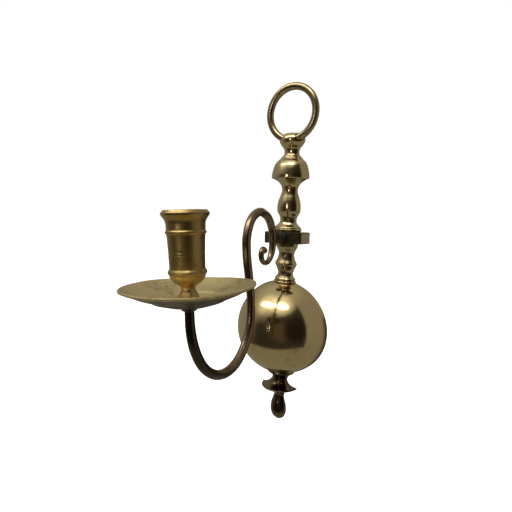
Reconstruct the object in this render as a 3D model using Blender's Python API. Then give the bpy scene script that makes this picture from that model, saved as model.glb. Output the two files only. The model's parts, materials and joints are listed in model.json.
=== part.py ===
"""Half-round brass wall sconce with one scroll arm, a drip pan and a candle cup.

Frame: metres, +Z up, the wall is the plane Y = 0 and the sconce stands out of it towards -Y.
The origin is the middle of the arm block's flat back.  Lengths below are in millimetres.
"""
import math

import bmesh
import bpy
from mathutils import Vector

MM = 0.001
GAP = 0.3                  # clearance kept between touching pieces

# Stem: every stem piece is a turning sliced flat, a little in front of its axis
AXIS_BEHIND = 3.0          # the turning axis lies this far behind the wall plane
STEM_STEPS = 20            # facets across the half-round
BALL_RADIUS = 48.0
BALL_WALL = 1.8
BALL_Z = -91.5             # height of the ball's centre
BALL_POLE = 3.4            # radius at which the ball's skin starts, top and bottom
BALL_ARC_STEPS = 14
WASHER_BORE = 8.4          # inner radius of the two rings that seat the ball

# Arm block: a bar across the stem, wider at the wall
BLOCK_HEIGHT = 11.2
BLOCK_DEPTH = 12.0
BLOCK_HALF_FRONT = 19.6
BLOCK_HALF_BACK = 24.2
BLOCK_EDGE = 1.1
BLOCK_ROLL = math.radians(-2.4)   # the bar sits slightly askew in the stem

# Tie rod that threads the stem together, and its nut in the hollow ball
ROD_Y = -2.9
ROD_RADIUS = 1.5
ROD_TOP = 79.5
ROD_BOTTOM = -159.5
NUT_FLATS = 5.4
NUT_THICK = 2.4
NUT_DROP = 1.7             # the nut sits this far under the crown of the hollow

# Hanging ring
RING_RADIUS = 24.1         # to the middle of the wire
RING_WIRE = 3.4
RING_X = 0.15
RING_Y = -4.4
RING_TWIST = math.radians(-3.5)  # the ring's hole runs slightly askew through the knob
RING_PIVOT_Z = 93.6        # middle of the wire where it passes through the knob
RING_SWING = (0, 8)        # degrees; the knob's hole follows the wire closely
RING_PLAY = 0.45
MIN_REACH = 0.5            # least half-width of the hole's section

# Arm: flat tongue into the block, scroll rod, then pan and cup on an upright end
ARM_LEAN = math.radians(-4.4)   # the arm sits askew, turned about its tongue
TONGUE = (4.0, 8.4)             # thickness, height
TONGUE_PLAY = 0.3
TONGUE_DEPTH = 6.6              # how far it reaches into the block
SHOULDER_RADIUS = 4.7
SHOULDER_THICK = 2.0
PIN_RADIUS = 1.2
PIN_Y = -8.6
ARM_BACK_Y = -31.8              # middle of the rod where the tongue joins it
ARM_BACK_RADIUS = 3.4
CUP_Y = -153.0                  # the cup's axis
ROD_END_Z = -39.3               # the arm rod's flat top, under the pan
PAN_COLLAR = (5.4, 2.2)         # radius, height
PAN_FLOOR_Z = -36.4             # underside of the pan's flat middle
PAN_SHEET = 1.2
PAN_TILT = math.radians(-2.0)    # the pan's front edge is bent up a little
STUD_RADIUS = 2.2
STUD_TOP = -20.6
CUP_STEPS = 32
PAN_STEPS = 40

# Scroll rod's middle line: Y, Z above the tongue, radius
ARM_LINE = [
    (CUP_Y, ROD_END_Z, 3.3),
    (-152.6, -53.0, 3.5),
    (-149.2, -67.6, 3.65),
    (-140.4, -83.0, 3.65),
    (-127.0, -93.4, 3.7),
    (-112.0, -96.8, 3.8),
    (-97.4, -93.4, 3.8),
    (-84.6, -83.0, 3.75),
    (-76.2, -68.4, 3.65),
    (-73.8, -50.0, 3.6),
    (-75.6, -31.0, 3.7),
    (-78.4, -10.0, 3.7),
    (-77.6, 5.0, 3.75),
    (-69.4, 19.2, 3.75),
    (-54.4, 25.2, 3.7),
    (-39.4, 19.6, 3.6),
    (-32.8, 8.6, 3.5),
    (ARM_BACK_Y, -1.0, ARM_BACK_RADIUS),
    (-34.4, -11.2, 3.2),
    (-40.2, -18.4, 2.6),
    (-47.4, -20.2, 2.3),
    (-53.0, -17.2, 2.4),
    (-54.2, -11.8, 2.6),
    (-51.0, -7.8, 2.9),
    (-48.2, -9.2, 3.0),
]

# Outlines: radius, height, from the top down
KNOB = [
    (4.6, 100.3), (9.0, 99.5), (12.0, 97.5), (13.6, 94.6), (13.6, 91.8), (11.8, 88.6),
    (9.4, 85.8), (8.7, 83.8), (8.7, 80.4), (9.5, 78.9), (10.9, 77.9), (11.6, 77.0),
    (12.5, 75.6),
]
BELL = [
    (12.7, 75.3), (15.0, 73.4), (17.0, 70.6), (18.3, 67.2), (19.2, 63.6), (19.8, 60.2),
    (19.9, 58.0), (19.3, 57.2),
]
UPPER_BALUSTER = [
    (17.8, 56.9), (14.2, 54.8), (11.3, 52.2), (9.6, 49.2), (9.1, 46.0), (9.7, 42.6),
    (11.1, 38.6), (12.3, 34.6), (12.9, 30.6), (12.9, 27.6), (12.7, 26.1),
]
COLLAR_VASE = [
    (12.9, 25.8), (12.0, 23.9), (10.3, 21.0), (9.5, 18.0), (9.6, 15.4), (11.0, 13.0),
    (13.2, 11.2), (14.3, 10.0), (14.3, 9.2), (15.1, 8.6), (15.1, 7.3), (14.4, 6.6),
]
LOWER_BALUSTER = [
    (12.8, -6.5), (12.2, -9.0), (10.6, -12.2), (9.4, -14.8), (9.3, -17.6), (10.3, -21.6),
    (12.1, -25.2), (12.5, -26.3), (11.7, -28.2), (9.9, -32.2), (9.0, -36.6), (9.8, -39.0),
    (11.0, -40.2), (11.8, -41.2), (11.8, -42.2), (11.0, -43.0),
]
DROP_FINIAL = [
    (12.4, -142.2), (10.4, -143.8), (9.3, -146.4), (9.8, -149.6), (12.8, -153.2),
    (16.8, -154.6), (19.8, -155.2), (20.2, -156.0), (18.6, -157.0), (14.0, -158.6),
    (9.5, -160.2), (7.2, -162.2), (7.0, -164.4), (6.7, -166.6), (7.6, -170.6),
    (9.0, -175.4), (9.6, -180.2), (9.2, -185.6), (7.3, -190.2), (4.2, -193.3),
]
CUP_OUTSIDE = [
    (12.6, 26.9), (14.0, 26.7), (15.7, 24.7), (15.9, 23.5), (14.8, 21.8), (13.4, 20.4),
    (12.9, 18.4), (12.7, 13.9), (13.4, 13.1), (13.4, 12.0), (12.5, 11.0), (12.0, 5.0),
    (11.6, -10.9), (12.7, -12.9), (12.9, -14.2), (12.0, -15.4), (11.0, -17.9), (8.7, -20.4),
    (6.2, -22.1), (4.6, -23.8), (4.9, -25.6), (6.2, -28.0), (7.3, -30.8), (7.5, -34.7),
]
CUP_BORE = [(10.1, -11.6), (10.4, 0.0), (11.0, 22.0), (11.6, 26.2)]   # from the floor up
PAN_UNDERSIDE = [          # heights above the pan's floor
    (9.0, 0.0), (13.0, 0.5), (24.0, 3.6), (26.0, 4.9), (36.0, 8.5), (41.6, 11.4),
    (44.6, 12.6),
]


def material(name, colour, roughness, metallic=1.0):
    """Make a Principled material."""
    mat = bpy.data.materials.new(name)
    mat.use_nodes = True
    shader = mat.node_tree.nodes["Principled BSDF"]
    shader.inputs["Base Color"].default_value = (*colour, 1.0)
    shader.inputs["Roughness"].default_value = roughness
    shader.inputs["Metallic"].default_value = metallic
    mat.diffuse_color = (*colour, 1.0)
    return mat


def add_object(name, mesh, mat, parent=None, location=(0, 0, 0)):
    """Link an object; its location is in millimetres under its parent."""
    if mat:
        mesh.materials.append(mat)
    obj = bpy.data.objects.new(name, mesh)
    bpy.context.scene.collection.objects.link(obj)
    obj.location = Vector(location) * MM
    obj.parent = parent
    return obj


def mesh_from(name, points, faces):
    """Make a mesh from points in millimetres, with its faces turned outwards."""
    mesh = bpy.data.meshes.new(name)
    mesh.from_pydata([Vector(p) * MM for p in points], [], faces)
    bm = bmesh.new()
    bm.from_mesh(mesh)
    bmesh.ops.recalc_face_normals(bm, faces=bm.faces)
    bm.to_mesh(mesh)
    bm.free()
    mesh.shade_smooth()
    mesh.set_sharp_from_angle(angle=math.radians(35))
    return mesh


def half_row(radius, z):
    """Points around the front of a turning, from the wall on one side to the wall on the other."""
    reach = math.acos(AXIS_BEHIND / radius)
    angles = [reach * (2 * i / STEM_STEPS - 1) for i in range(STEM_STEPS + 1)]
    row = [(radius * math.sin(a), AXIS_BEHIND - radius * math.cos(a), z) for a in angles]
    row[0] = (row[0][0], 0.0, z)
    row[-1] = (row[-1][0], 0.0, z)
    return row


def strips(rows, width, closed):
    """Quads between neighbouring rows of equal length."""
    pairs = [(i, i + 1) for i in range(rows - 1)]
    if closed:
        pairs.append((rows - 1, 0))
    return [(a * width + k, a * width + k + 1, b * width + k + 1, b * width + k)
            for a, b in pairs for k in range(width - 1)]


def half_turning(name, outline, mat):
    """A solid half-round piece with a flat back on the wall plane."""
    points = [p for radius, z in outline for p in half_row(radius, z)]
    width = STEM_STEPS + 1
    rows = len(outline)
    faces = strips(rows, width, closed=False)
    faces.append(tuple(range(width)))
    faces.append(tuple(range((rows - 1) * width, rows * width)))
    left = [i * width for i in range(rows)]
    right = [i * width + width - 1 for i in range(rows)]
    faces.append(tuple(left + right[::-1]))
    return add_object(name, mesh_from(name, points, faces), mat)


def half_shell(name, loop, mat):
    """A half-round shell: a closed outline carried round the front, its ends on the wall plane."""
    points = [p for radius, z in loop for p in half_row(radius, z)]
    width = STEM_STEPS + 1
    rows = len(loop)
    faces = strips(rows, width, closed=True)
    faces.append(tuple(i * width for i in range(rows)))
    faces.append(tuple(i * width + width - 1 for i in range(rows)))
    return add_object(name, mesh_from(name, points, faces), mat)


def turning(name, loop, steps, mat, parent, location):
    """A full-round piece: a closed outline turned about its own upright axis."""
    points = [(radius * math.cos(math.tau * k / steps), radius * math.sin(math.tau * k / steps), z)
              for radius, z in loop for k in range(steps)]
    rows = len(loop)
    faces = []
    for i in range(rows):
        j = (i + 1) % rows
        for k in range(steps):
            m = (k + 1) % steps
            faces.append((i * steps + k, i * steps + m, j * steps + m, j * steps + k))
    return add_object(name, mesh_from(name, points, faces), mat, parent, location)


def cylinder(name, radius, z_low, z_high, sides, mat, parent=None, location=(0, 0, 0), turn=0.0):
    """An upright cylinder or prism."""
    angles = [turn + math.tau * k / sides for k in range(sides)]
    points = [(radius * math.cos(a), radius * math.sin(a), z)
              for z in (z_low, z_high) for a in angles]
    faces = [(k, (k + 1) % sides, sides + (k + 1) % sides, sides + k) for k in range(sides)]
    faces += [tuple(range(sides)), tuple(range(sides, 2 * sides))]
    return add_object(name, mesh_from(name, points, faces), mat, parent, location)


def slab(name, low, high, mat, parent=None):
    """A plain rectangular block between two corners."""
    points = [(x, y, z) for x in (low[0], high[0]) for y in (low[1], high[1])
              for z in (low[2], high[2])]
    faces = [(0, 1, 3, 2), (4, 6, 7, 5), (0, 4, 5, 1), (2, 3, 7, 6), (0, 2, 6, 4), (1, 5, 7, 3)]
    return add_object(name, mesh_from(name, points, faces), mat, parent)


def hide_tool(obj):
    """Keep a cutter out of the model."""
    obj.hide_render = True
    obj.display_type = "WIRE"
    return obj


def boolean(target, tool, operation="DIFFERENCE"):
    """Cut a piece with a tool, or join the two."""
    mod = target.modifiers.new(tool.name, "BOOLEAN")
    mod.operation = operation
    mod.object = tool
    mod.solver = "EXACT"


def sphere_arc(radius, start_r):
    """Points of the ball's outline from its top to its bottom, with both ends at radius start_r."""
    first = math.asin(start_r / radius)
    angles = [first + (math.pi - 2 * first) * i / BALL_ARC_STEPS for i in range(BALL_ARC_STEPS + 1)]
    return [(radius * math.sin(a), BALL_Z + radius * math.cos(a)) for a in angles]


def on_ball(radius, top):
    """Height just clear of the ball's skin at this radius, above its top or under its bottom."""
    reach = math.sqrt((BALL_RADIUS + GAP) ** 2 - radius ** 2)
    return BALL_Z + reach if top else BALL_Z - reach


def build_stem(brass, bronze, iron):
    """The turned pieces from the knob to the drop, and the rod that threads them together."""
    knob = half_turning("top_knob", KNOB, brass)
    pieces = [
        knob,
        half_turning("bell_cap", BELL, brass),
        half_turning("upper_baluster", UPPER_BALUSTER, brass),
        half_turning("collar_vase", COLLAR_VASE, brass),
        half_turning("lower_baluster", LOWER_BALUSTER, brass),
        half_turning("drop_finial", DROP_FINIAL, bronze),
    ]
    inner = WASHER_BORE
    seat = [(inner, -43.3), (11.6, -43.3), (12.7, -43.8), (12.9, -44.3),
            (12.6, on_ball(12.6, True)), (inner, on_ball(inner, True))]
    foot = [(inner, on_ball(inner, False)), (12.0, on_ball(12.0, False)),
            (15.8, on_ball(15.8, False)), (16.2, -138.4), (15.0, -140.2), (12.8, -141.9),
            (inner, -141.9)]
    half_shell("ball_seat_ring", seat, brass)
    half_shell("ball_foot_ring", foot, brass)
    skin = sphere_arc(BALL_RADIUS, BALL_POLE)
    skin += sphere_arc(BALL_RADIUS - BALL_WALL, BALL_POLE)[::-1]
    pieces.append(half_shell("half_ball", skin, brass))

    half_h = BLOCK_HEIGHT / 2
    plan = [(-BLOCK_HALF_BACK, 0), (-BLOCK_HALF_FRONT, -BLOCK_DEPTH),
            (BLOCK_HALF_FRONT, -BLOCK_DEPTH), (BLOCK_HALF_BACK, 0)]
    points = [(x, y, z) for z in (-half_h, half_h) for x, y in plan]
    faces = [(0, 1, 2, 3), (4, 5, 6, 7)] + [(k, (k + 1) % 4, 4 + (k + 1) % 4, 4 + k)
                                            for k in range(4)]
    block = add_object("arm_block", mesh_from("arm_block", points, faces), iron)
    block.rotation_euler.y = BLOCK_ROLL
    edge = block.modifiers.new("worn_edges", "BEVEL")
    edge.width = BLOCK_EDGE * MM
    edge.segments = 2
    edge.limit_method = "ANGLE"
    edge.angle_limit = math.radians(40)
    pieces.append(block)

    rod_place = (0, ROD_Y, 0)
    cylinder("tie_rod", ROD_RADIUS, ROD_BOTTOM, ROD_TOP, 12, iron, location=rod_place)
    bore = hide_tool(cylinder("tie_rod_bore", ROD_RADIUS + GAP, ROD_BOTTOM - 1, ROD_TOP + 1, 12,
                              None, location=rod_place))
    for piece in pieces:
        boolean(piece, bore)

    nut_top = BALL_Z + BALL_RADIUS - BALL_WALL - NUT_DROP
    nut = cylinder("ball_nut", NUT_FLATS / 2 / math.cos(math.pi / 6), nut_top - NUT_THICK, nut_top,
                   6, iron, location=rod_place)
    boolean(nut, bore)
    return knob, block


def swing_reach(direction, rise, clear):
    """How far from the pivot the swinging wire sweeps, in a direction measured from upright.

    The wire's middle lies rise above the pivot, and its radius with play is clear.
    """
    low, high = (math.radians(limit) for limit in RING_SWING)
    middle = (low + high) / 2
    off = abs((direction - middle + math.pi) % math.tau - math.pi) - (high - low) / 2
    off = min(max(off, 0.0), math.pi)
    under = clear ** 2 - (rise * math.sin(off)) ** 2
    if under < 0:
        return MIN_REACH
    return max(rise * math.cos(off) + math.sqrt(under), MIN_REACH)


def build_ring(knob, brass):
    """The hanging ring, and the hole that its swing needs through the knob."""
    pivot = Vector((RING_X, RING_Y, RING_PIVOT_Z))
    steps, sides = 48, 12
    points = []
    for i in range(steps):
        a = math.tau * i / steps
        for k in range(sides):
            b = math.tau * k / sides
            reach = RING_RADIUS + RING_WIRE * math.cos(b)
            points.append((reach * math.sin(a), RING_WIRE * math.sin(b),
                           RING_RADIUS - reach * math.cos(a)))
    faces = [(i * sides + k, i * sides + (k + 1) % sides,
              (i + 1) % steps * sides + (k + 1) % sides, (i + 1) % steps * sides + k)
             for i in range(steps) for k in range(sides)]
    ring = add_object("hanging_ring", mesh_from("hanging_ring", points, faces), brass,
                      location=pivot)
    ring.rotation_euler.z = RING_TWIST

    wide, arc, around = math.radians(40), 14, 24
    path = []
    for i in range(arc + 1):
        a = wide * (2 * i / arc - 1)
        rise = RING_RADIUS * (1 - math.cos(a))
        clear = (RING_WIRE + RING_PLAY) / math.cos(a)
        for k in range(around):
            b = math.tau * k / around
            reach = swing_reach(b, rise, clear)
            path.append((RING_RADIUS * math.sin(a), -reach * math.sin(b), reach * math.cos(b)))
    faces = [(i * around + k, i * around + (k + 1) % around,
              (i + 1) * around + (k + 1) % around, (i + 1) * around + k)
             for i in range(arc) for k in range(around)]
    faces += [tuple(range(around)), tuple(arc * around + k for k in range(around))]
    hole = mesh_from("ring_path", path, faces)
    tool = hide_tool(add_object("ring_path", hole, None, location=pivot))
    tool.rotation_euler.z = RING_TWIST
    boolean(knob, tool)


def build_arm(block, brass, bronze, pale, golden, iron):
    """Everything that hangs on the tongue, all turned together by the arm's lean."""
    arm = bpy.data.objects.new("arm_frame", None)
    bpy.context.scene.collection.objects.link(arm)
    arm.rotation_euler.y = ARM_LEAN

    # Tongue with a round shoulder that seats on the block's face
    half_t, half_h = TONGUE[0] / 2, TONGUE[1] / 2
    tip_y = -BLOCK_DEPTH + TONGUE_DEPTH
    root_y = ARM_BACK_Y + ARM_BACK_RADIUS + GAP
    tongue = slab("arm_tongue", (-half_t, root_y, -half_h), (half_t, tip_y, half_h), bronze, arm)
    shoulder_y = -BLOCK_DEPTH - GAP
    shoulder = hide_tool(cylinder("tongue_shoulder", SHOULDER_RADIUS, 0, SHOULDER_THICK, 20, None,
                                  arm, (0, shoulder_y, 0)))
    shoulder.rotation_euler.x = math.radians(90)
    boolean(tongue, shoulder, "UNION")
    room = half_t + TONGUE_PLAY
    mortise = hide_tool(slab("mortise", (-room, -BLOCK_DEPTH - 1, -half_h - TONGUE_PLAY),
                             (room, tip_y + TONGUE_PLAY, half_h + TONGUE_PLAY), None, arm))
    boolean(block, mortise)
    pin_half = BLOCK_HEIGHT / 2 - 0.4
    cylinder("tongue_pin", PIN_RADIUS, -pin_half, pin_half, 12, iron, arm, (0, PIN_Y, 0))
    pin_hole = hide_tool(cylinder("pin_hole", PIN_RADIUS + GAP, -BLOCK_HEIGHT, BLOCK_HEIGHT, 12,
                                  None, arm, (0, PIN_Y, 0)))
    boolean(block, pin_hole)
    boolean(tongue, pin_hole)

    curve = bpy.data.curves.new("arm_rod", "CURVE")
    curve.dimensions = "3D"
    curve.bevel_depth = MM
    curve.bevel_resolution = 2
    curve.resolution_u = 4
    curve.use_fill_caps = True
    spline = curve.splines.new("BEZIER")
    spline.bezier_points.add(len(ARM_LINE) - 1)
    for point, (y, z, radius) in zip(spline.bezier_points, ARM_LINE):
        point.co = Vector((0, y, z)) * MM
        point.radius = radius
        point.handle_left_type = point.handle_right_type = "AUTO"
    curve.materials.append(bronze)
    rod = bpy.data.objects.new("arm_rod", curve)
    bpy.context.scene.collection.objects.link(rod)
    rod.parent = arm
    end = spline.bezier_points[0]
    end.handle_left_type = end.handle_right_type = "FREE"
    end.handle_left = end.co + Vector((0, 0, 4 * MM))
    end.handle_right = end.co - Vector((0, 0, 4 * MM))

    axis = (0, CUP_Y, 0)
    hole = STUD_RADIUS + GAP
    collar_low = ROD_END_Z + GAP
    collar_high = collar_low + PAN_COLLAR[1]
    collar = [(hole, collar_low), (PAN_COLLAR[0] - 0.6, collar_low), (PAN_COLLAR[0], collar_low + 0.8),
              (PAN_COLLAR[0], collar_high), (hole, collar_high)]
    turning("pan_collar", collar, 20, bronze, arm, axis)
    cylinder("cup_stud", STUD_RADIUS, collar_low, STUD_TOP, 12, iron, arm, axis)

    under = PAN_UNDERSIDE
    upper = [(r - 0.2, z + PAN_SHEET) for r, z in under]
    profile = [(hole, 0.0)] + under + upper[::-1] + [(hole, PAN_SHEET)]
    pan = turning("drip_pan", profile, PAN_STEPS, pale, arm, (0, CUP_Y, PAN_FLOOR_Z))
    pan.rotation_euler.x = PAN_TILT

    foot_z = CUP_OUTSIDE[-1][1]
    thread_top = STUD_TOP + 1.2
    cup = CUP_OUTSIDE + [(hole, foot_z), (hole, thread_top), (0.6, thread_top + 0.6),
                         (0.6, CUP_BORE[0][1])] + CUP_BORE
    turning("candle_cup", cup, CUP_STEPS, golden, arm, axis)


def main():
    for obj in list(bpy.data.objects):
        bpy.data.objects.remove(obj, do_unlink=True)
    brass = material("polished_brass", (0.66, 0.52, 0.26), 0.18)
    golden = material("satin_brass", (0.58, 0.41, 0.15), 0.32)
    pale = material("pale_brass", (0.66, 0.58, 0.40), 0.42)
    bronze = material("dark_bronze", (0.26, 0.17, 0.09), 0.34)
    iron = material("dark_iron", (0.09, 0.08, 0.06), 0.60)
    knob, block = build_stem(brass, bronze, iron)
    build_ring(knob, brass)
    build_arm(block, brass, bronze, pale, golden, iron)
    bpy.context.view_layer.update()


main()
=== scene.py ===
"""Looks of a half-round brass wall sconce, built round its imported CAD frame.

The frame is in metres: the wall is the plane Y = 0, the sconce stands out of it towards -Y, and
+Z is up.  Outlines below are in millimetres, as (radius, height); a third value marks a corner
and gives the radius that it is worn to.
"""
import json
import math

import bmesh
import bpy
from mathutils import Matrix, Vector, noise


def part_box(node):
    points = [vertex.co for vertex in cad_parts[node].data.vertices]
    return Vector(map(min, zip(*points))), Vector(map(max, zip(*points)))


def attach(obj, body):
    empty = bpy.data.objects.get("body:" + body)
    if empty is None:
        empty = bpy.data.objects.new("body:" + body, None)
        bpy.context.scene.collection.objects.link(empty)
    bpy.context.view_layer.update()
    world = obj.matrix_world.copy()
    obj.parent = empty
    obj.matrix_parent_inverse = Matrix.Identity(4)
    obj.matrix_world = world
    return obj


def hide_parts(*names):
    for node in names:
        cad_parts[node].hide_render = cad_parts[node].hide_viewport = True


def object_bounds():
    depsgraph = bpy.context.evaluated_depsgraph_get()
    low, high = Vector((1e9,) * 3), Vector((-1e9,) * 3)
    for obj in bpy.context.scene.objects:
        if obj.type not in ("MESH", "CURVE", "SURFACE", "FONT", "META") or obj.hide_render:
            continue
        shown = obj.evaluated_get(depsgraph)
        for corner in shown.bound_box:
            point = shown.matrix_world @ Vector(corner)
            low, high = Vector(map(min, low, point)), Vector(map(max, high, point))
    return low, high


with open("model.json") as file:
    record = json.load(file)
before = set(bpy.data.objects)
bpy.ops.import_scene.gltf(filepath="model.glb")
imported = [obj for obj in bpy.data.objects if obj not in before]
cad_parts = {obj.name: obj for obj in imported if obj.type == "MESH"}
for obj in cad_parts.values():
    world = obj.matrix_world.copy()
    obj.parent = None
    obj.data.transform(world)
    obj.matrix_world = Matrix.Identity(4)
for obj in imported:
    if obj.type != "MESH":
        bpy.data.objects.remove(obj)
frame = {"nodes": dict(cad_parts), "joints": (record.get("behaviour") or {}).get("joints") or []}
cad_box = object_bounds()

MM = 0.001
NODES = frame["nodes"]
JOINTS = {joint["name"]: joint for joint in frame["joints"]}

# Stem pieces are turnings sliced flat in front of their axis
AXIS_BEHIND = 3.0
STEM_STEPS = 128
BACK_EDGE = 0.25           # chamfer where a turned face meets the sawn back
BLOCK_ROLL = math.radians(-2.4)
BLOCK_HALF_FRONT = 19.6
BLOCK_HALF_BACK = 24.2
BLOCK_HEIGHT = 11.2
BALL_RADIUS = 48.0
BALL_WALL = 1.8
BALL_Z = -91.5
BALL_POLE = 3.4
SEAT_BORE = 8.4
SEAT_GAP = 0.3
WIRE_RADIUS = 3.4          # the hanging ring's wire
WIRE_PLAY = 0.42           # how much wider than the wire its hole in the knob is worn
STUD_BORE = 2.5            # the hole for the cup's stud
HALF_ROW = STEM_STEPS + 3  # points in one row of a half turning
SHARP_ANGLE = math.radians(32)
HOLLOW_REACH = 1.3         # how far round a point its hollow is measured
HOLLOW_SPAN = 14           # and over how many points each way
CAP_LENGTH = 0.35          # a rod's rounded end, as a share of its radius
CAP_STEPS = (28, 52, 72, 86)

# The arm's own frame: turned about the Y axis by its lean, as the cup's axis shows
CUP_AXIS = Vector(JOINTS["cup_turn"]["axis"])
ARM_LEAN = math.atan2(CUP_AXIS.x, CUP_AXIS.z)
CUP_Y = JOINTS["cup_turn"]["pos_m"][1] / MM
ARM_FRAME = Matrix.Rotation(ARM_LEAN, 4, "Y")
CUP_FRAME = ARM_FRAME @ Matrix.Translation((0, CUP_Y * MM, 0))

KNOB = [
    (4.6, 100.3), (9.0, 99.5), (12.0, 97.5), (13.6, 94.6), (13.6, 91.8), (11.8, 88.6),
    (9.4, 85.8), (8.7, 83.8), (8.7, 80.4), (9.5, 78.9), (10.7, 78.1, 0.2), (10.9, 77.5, 0.2),
    (11.6, 76.8), (12.5, 75.5, 0.3),
]
BELL = [
    (12.7, 75.4, 0.2), (15.0, 73.4), (17.0, 70.6), (18.3, 67.2), (19.2, 63.6), (19.8, 60.2),
    (19.9, 58.0, 0.4), (19.3, 57.0, 0.3),
]
UPPER_BALUSTER = [
    (17.8, 56.9, 0.2), (14.2, 54.8), (11.3, 52.2), (9.6, 49.2), (9.1, 46.0), (9.7, 42.6),
    (11.1, 38.6), (12.3, 34.6), (12.9, 30.6), (12.9, 27.6), (12.7, 26.0, 0.2),
]
COLLAR_VASE = [
    (12.9, 25.95, 0.2), (12.0, 23.9), (10.3, 21.0), (9.5, 18.0), (9.6, 15.4), (11.0, 13.0),
    (13.2, 11.2), (14.3, 10.0), (14.3, 9.2, 0.2), (15.1, 8.6, 0.4), (15.1, 7.3, 0.4),
    (14.4, 6.6, 0.3), (14.2, 5.2, 0.2),
]
LOWER_BALUSTER = [
    (12.8, -5.2, 0.3), (12.7, -6.6), (12.2, -9.0), (10.6, -12.2), (9.4, -14.8),
    (9.3, -17.6), (10.3, -21.6), (12.1, -25.2), (12.5, -26.3, 0.4), (11.7, -28.2),
    (9.9, -32.2), (9.0, -36.6),
    (9.8, -39.0, 0.2), (11.0, -40.2), (11.8, -41.2), (11.8, -42.2), (11.0, -43.0, 0.2),
]
DROP_FINIAL = [
    (12.4, -142.2, 0.3), (10.4, -143.8), (9.3, -146.4), (9.8, -149.6), (12.8, -153.0),
    (16.8, -154.6), (19.6, -155.2), (20.2, -156.0), (18.6, -157.0), (14.0, -158.6),
    (9.5, -160.2), (7.2, -162.2), (6.9, -163.4, 0.3), (7.3, -164.0), (6.9, -164.8, 0.3),
    (6.7, -166.6), (7.6, -170.6), (9.0, -175.4), (9.6, -180.2), (9.2, -185.6), (7.3, -190.2),
    (4.2, -193.3, 0.5),
]
CUP_OUTSIDE = [
    (12.4, 26.9), (14.3, 26.8, 0.3), (14.8, 26.1, 0.2), (15.9, 24.8, 0.5), (15.5, 23.4, 0.4),
    (14.1, 21.5), (13.3, 20.1), (12.9, 18.6), (12.7, 14.0, 0.2),
    (13.3, 13.2), (13.4, 12.4), (12.5, 11.0, 0.2),
    (12.1, 5.0), (11.6, -10.9, 0.2), (12.6, -12.5), (12.9, -13.5, 0.4), (12.0, -15.2, 0.2),
    (11.0, -17.9), (8.7, -20.4), (6.2, -22.1), (4.6, -23.8), (4.9, -25.6), (6.0, -27.6),
    (6.9, -29.6), (7.2, -31.6), (6.7, -33.4, 0.3), (6.9, -34.7, 0.3),
]
CUP_BORE = [(1.0, -11.9), (9.6, -11.9, 0.4), (10.4, 0.0), (11.0, 22.0), (11.6, 26.2)]
CUP_GROOVES = (0.1, -1.7)  # heights of the pair of cut lines
GROOVE_HALF = 0.45
GROOVE_DEPTH = 0.22
PAN_FLOOR_Z = -36.4
PAN_SHEET = 1.2
PAN_TILT = math.radians(-2.0)
PAN_BEND = 2.2             # the rim is knocked up this far on one side
PAN_BENT_SIDE = Vector((0.866, 0.5, 0.0))
UNDERSIDE_SHADE_RADIUS = 42.2    # outside this the lip's underside keeps the pan's own brass, without the painted shade
FLANGE_ABOVE = -163.0      # the finial's flange is bent, and the drop below it is not
FLANGE_FROM = 10.0
FLANGE_RUN = 8.0
FLANGE_SLOPE = 0.045
PAN_UNDERSIDE = [          # heights above the pan's floor
    (9.0, 0.0), (13.0, 0.5), (24.0, 3.6, 0.5), (26.0, 4.9, 0.5), (36.0, 8.5),
    (42.0, 11.5, 0.4), (42.4, 11.2, 0.3), (44.4, 12.1, 0.4),
]

# Scroll rod's middle line in the arm's frame: Y, Z, radius
ROD_END_Z = -39.3
ARM_LINE = [
    (CUP_Y, ROD_END_Z, 3.3),
    (-152.6, -53.0, 3.5),
    (-149.2, -67.6, 3.65),
    (-140.4, -83.0, 3.65),
    (-127.0, -93.4, 3.7),
    (-112.0, -96.8, 3.8),
    (-97.4, -93.4, 3.8),
    (-84.6, -83.0, 3.75),
    (-76.2, -68.4, 3.65),
    (-73.8, -50.0, 3.6),
    (-75.6, -31.0, 3.7),
    (-78.4, -10.0, 3.7),
    (-77.6, 5.0, 3.75),
    (-69.4, 19.2, 3.75),
    (-54.4, 25.2, 3.7),
    (-39.4, 19.6, 3.6),
    (-32.8, 8.6, 3.5),
    (-31.8, -1.0, 3.4),
    (-34.4, -11.2, 3.2),
    (-40.2, -18.4, 2.6),
    (-47.4, -20.2, 2.3),
    (-53.0, -17.2, 2.4),
    (-54.2, -11.8, 2.6),
    (-51.0, -7.8, 2.9),
    (-48.2, -9.2, 3.0),
]


# ---------------------------------------------------------------- shaping

def spline(points, step):
    """A smooth line through the points, sampled about every step."""
    points = [Vector(p) for p in points]
    if len(points) == 2:
        first, last = points
        count = max(1, round((last - first).length / step))
        return [first.lerp(last, i / count) for i in range(count + 1)]
    ends = [points[0] * 2 - points[1]] + points + [points[-1] * 2 - points[-2]]
    line = []
    for p0, p1, p2, p3 in zip(ends, ends[1:], ends[2:], ends[3:]):
        times = [0.0]
        for a, b in ((p0, p1), (p1, p2), (p2, p3)):
            times.append(times[-1] + math.sqrt((b - a).length))
        t0, t1, t2, t3 = times
        count = max(1, round((p2 - p1).length / step))
        for i in range(count):
            t = t1 + (t2 - t1) * i / count
            a1 = p0.lerp(p1, (t - t0) / (t1 - t0))
            a2 = p1.lerp(p2, (t - t1) / (t2 - t1))
            a3 = p2.lerp(p3, (t - t2) / (t3 - t2))
            b1 = a1.lerp(a2, (t - t0) / (t2 - t0))
            b2 = a2.lerp(a3, (t - t1) / (t3 - t1))
            line.append(b1.lerp(b2, (t - t1) / (t2 - t1)))
    line.append(points[-1])
    return line


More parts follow.
